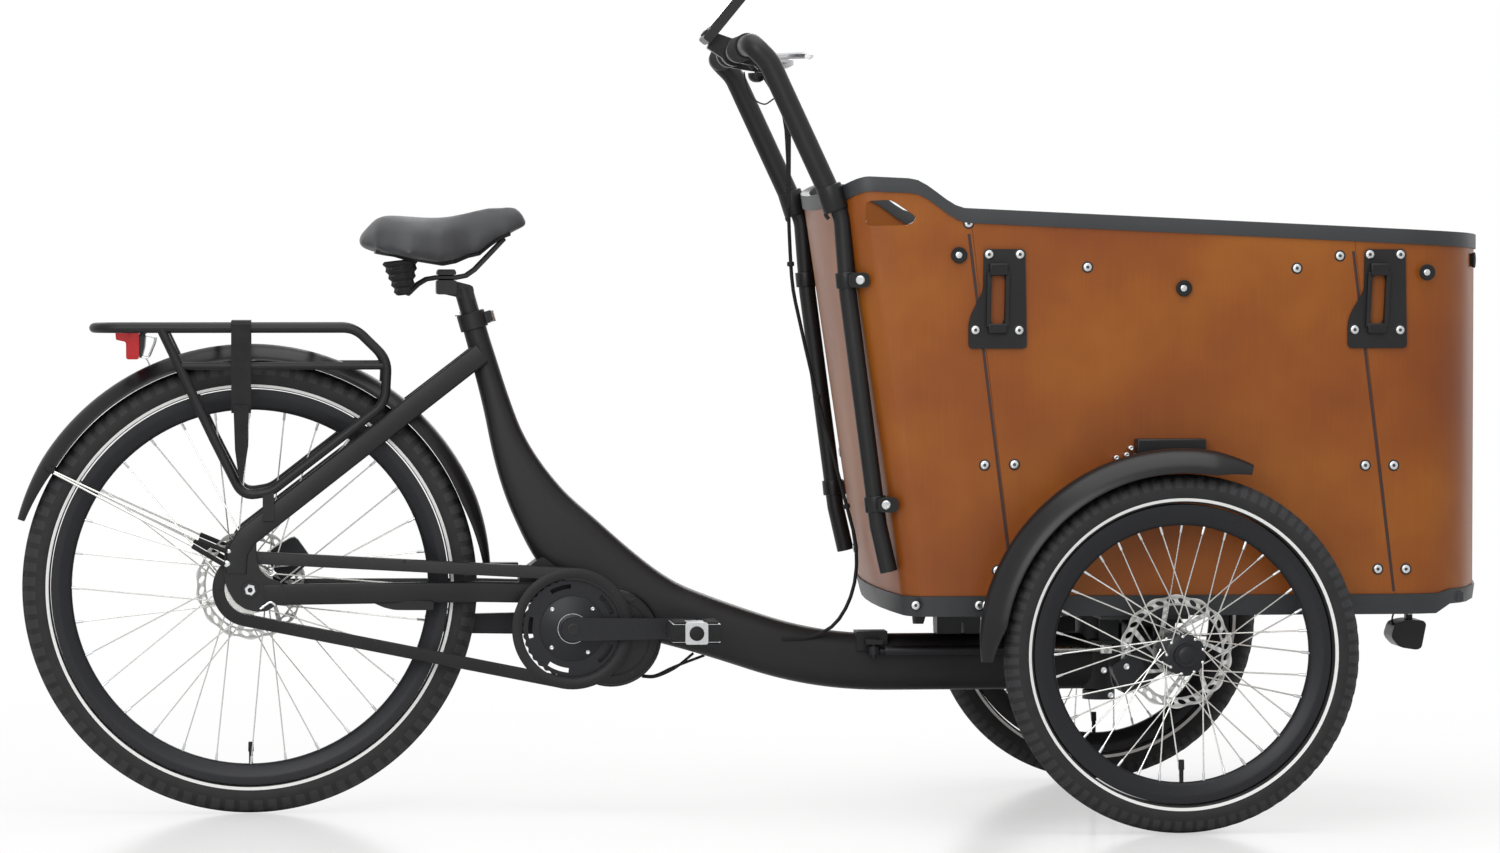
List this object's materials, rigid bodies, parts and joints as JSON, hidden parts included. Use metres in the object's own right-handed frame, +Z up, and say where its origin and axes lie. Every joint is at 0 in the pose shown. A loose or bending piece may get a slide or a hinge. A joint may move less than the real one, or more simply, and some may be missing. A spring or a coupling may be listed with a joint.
{
  "type": "electric cargo tricycle",
  "caption": "Electric cargo tricycle with a steered wooden front box, driven rear wheel, mid motor, enclosed chain and rear rack.",
  "frame": {"origin": "on the ground below the middle of the whole tricycle", "axes": "+X forward along the tricycle, +Y to the rider's left, +Z up"},
  "size_m": [2.1108, 0.864, 1.1809],
  "materials": {
    "black_paint": "satin",
    "black_plastic": "matte",
    "black_rubber": "matte",
    "tyre": "matte with a white side stripe",
    "grey_trim": "satin",
    "birch_ply": "stained and varnished",
    "saddle_cover": "matte",
    "polished_steel": "polished",
    "aluminium": "satin",
    "red_lens": "clear gloss"
  },
  "bodies": {
    "frame": {"frame_spine": "black_paint", "right_stay": "black_paint", "left_stay": "black_paint", "seat_collar": "black_paint", "motor_housing": "black_plastic", "chain_case": "black_plastic", "chain": "polished_steel", "rear_rack": "black_paint", "rack_strap": "black_rubber", "rear_lamp": "red_lens", "rear_mudguard": "black_plastic", "rear_axle": "polished_steel", "rear_caliper": "black_paint"},
    "seat": {"seatpost": "black_paint", "saddle_base": "black_plastic", "saddle_cushion": "saddle_cover"},
    "seat_clamp_lever": {"seat_lever": "polished_steel"},
    "crankset": {"chainring": "black_paint", "right_crank": "black_paint", "left_crank": "black_paint"},
    "right_pedal_body": {"right_pedal": "black_rubber"},
    "left_pedal_body": {"left_pedal": "black_rubber"},
    "sprocket_body": {"sprocket": "polished_steel"},
    "rear_wheel_body": {"rear_tyre": "tyre", "rear_wheel": "aluminium", "rear_rotor": "polished_steel"},
    "steered_front": {"floor_frame": "grey_trim", "front_axle": "black_paint", "floor_board": "birch_ply", "rear_panel": "birch_ply", "right_side_panel": "birch_ply", "left_side_panel": "birch_ply", "front_panel": "birch_ply", "top_rim": "grey_trim", "right_rear_bracket": "black_paint", "right_front_bracket": "black_paint", "left_rear_bracket": "black_paint", "left_front_bracket": "black_paint", "right_front_mudguard": "black_plastic", "left_front_mudguard": "black_plastic", "headlamp": "black_plastic", "handlebar": "black_paint", "right_grip": "black_rubber", "left_grip": "black_rubber", "display": "black_plastic", "bench": "birch_ply", "battery": "black_plastic", "right_front_caliper": "black_paint", "left_front_caliper": "black_paint", "cable_harness": "black_rubber"},
    "right_front_wheel_body": {"right_front_tyre": "tyre", "right_front_wheel": "aluminium", "right_front_rotor": "polished_steel"},
    "left_front_wheel_body": {"left_front_tyre": "tyre", "left_front_wheel": "aluminium", "left_front_rotor": "polished_steel"},
    "right_lever_body": {"right_brake_lever": "aluminium"},
    "left_lever_body": {"left_brake_lever": "aluminium"},
    "damper_cylinder": {"damper_body": "black_paint"},
    "damper_piston": {"damper_rod": "polished_steel"}
  },
  "joints": [
    {"name": "steering", "type": "hinge", "parent": "frame", "child": "steered_front", "pos_m": [0.51239, 0, 0.298], "axis": [0, 0, 1], "range_deg": [-35, 35], "deforming": ["cable_harness"]},
    {"name": "seat_height", "type": "slide", "parent": "frame", "child": "seat", "axis": [-0.2756, 0, 0.9613], "range_m": [-0.012, 0.12]},
    {"name": "seat_lever_swing", "type": "hinge", "parent": "frame", "child": "seat_clamp_lever", "pos_m": [-0.37661, 0.0163, 0.715], "axis": [-0.2756, 0, 0.9613], "range_deg": [-150, 0]},
    {"name": "crank_spin", "type": "hinge", "parent": "frame", "child": "crankset", "pos_m": [-0.26111, 0, 0.267], "axis": [0, 1, 0], "continuous": true},
    {"name": "right_pedal_spin", "type": "hinge", "parent": "crankset", "child": "right_pedal_body", "pos_m": [-0.09111, -0.125, 0.267], "axis": [0, 1, 0], "continuous": true},
    {"name": "left_pedal_spin", "type": "hinge", "parent": "crankset", "child": "left_pedal_body", "pos_m": [-0.43111, 0.125, 0.267], "axis": [0, 1, 0], "continuous": true},
    {"name": "sprocket_spin", "type": "hinge", "parent": "frame", "child": "sprocket_body", "pos_m": [-0.72261, -0.052, 0.3265], "axis": [0, 1, 0], "continuous": true},
    {"name": "rear_wheel_spin", "type": "hinge", "parent": "frame", "child": "rear_wheel_body", "pos_m": [-0.72261, 0, 0.3265], "axis": [0, 1, 0], "continuous": true},
    {"name": "right_front_wheel_spin", "type": "hinge", "parent": "steered_front", "child": "right_front_wheel_body", "pos_m": [0.56709, -0.39, 0.25], "axis": [0, 1, 0], "continuous": true},
    {"name": "left_front_wheel_spin", "type": "hinge", "parent": "steered_front", "child": "left_front_wheel_body", "pos_m": [0.56709, 0.39, 0.25], "axis": [0, 1, 0], "continuous": true},
    {"name": "right_brake_pull", "type": "hinge", "parent": "steered_front", "child": "right_lever_body", "pos_m": [0.01339, -0.083, 1.088], "axis": [0, 0, -1], "range_deg": [0, 20], "stiffness_Nm_per_rad": 0.6},
    {"name": "left_brake_pull", "type": "hinge", "parent": "steered_front", "child": "left_lever_body", "pos_m": [0.01339, 0.083, 1.088], "axis": [0, 0, 1], "range_deg": [0, 20], "stiffness_Nm_per_rad": 0.6},
    {"name": "damper_swing", "type": "hinge", "parent": "frame", "child": "damper_cylinder", "pos_m": [0.17439, -0.062, 0.2332], "axis": [0, 0, 1], "range_deg": [-1, 2.3]},
    {"name": "damper_stroke", "type": "slide", "parent": "damper_cylinder", "child": "damper_piston", "axis": [1, 0, 0], "range_m": [-0.036, 0.036]}
  ],
  "couplings": [
    {"joint": "sprocket_spin", "follows": "crank_spin", "ratio": 1.9},
    {"joint": "damper_stroke", "follows": "steering", "m_per_rad": 0.0585}
  ]
}
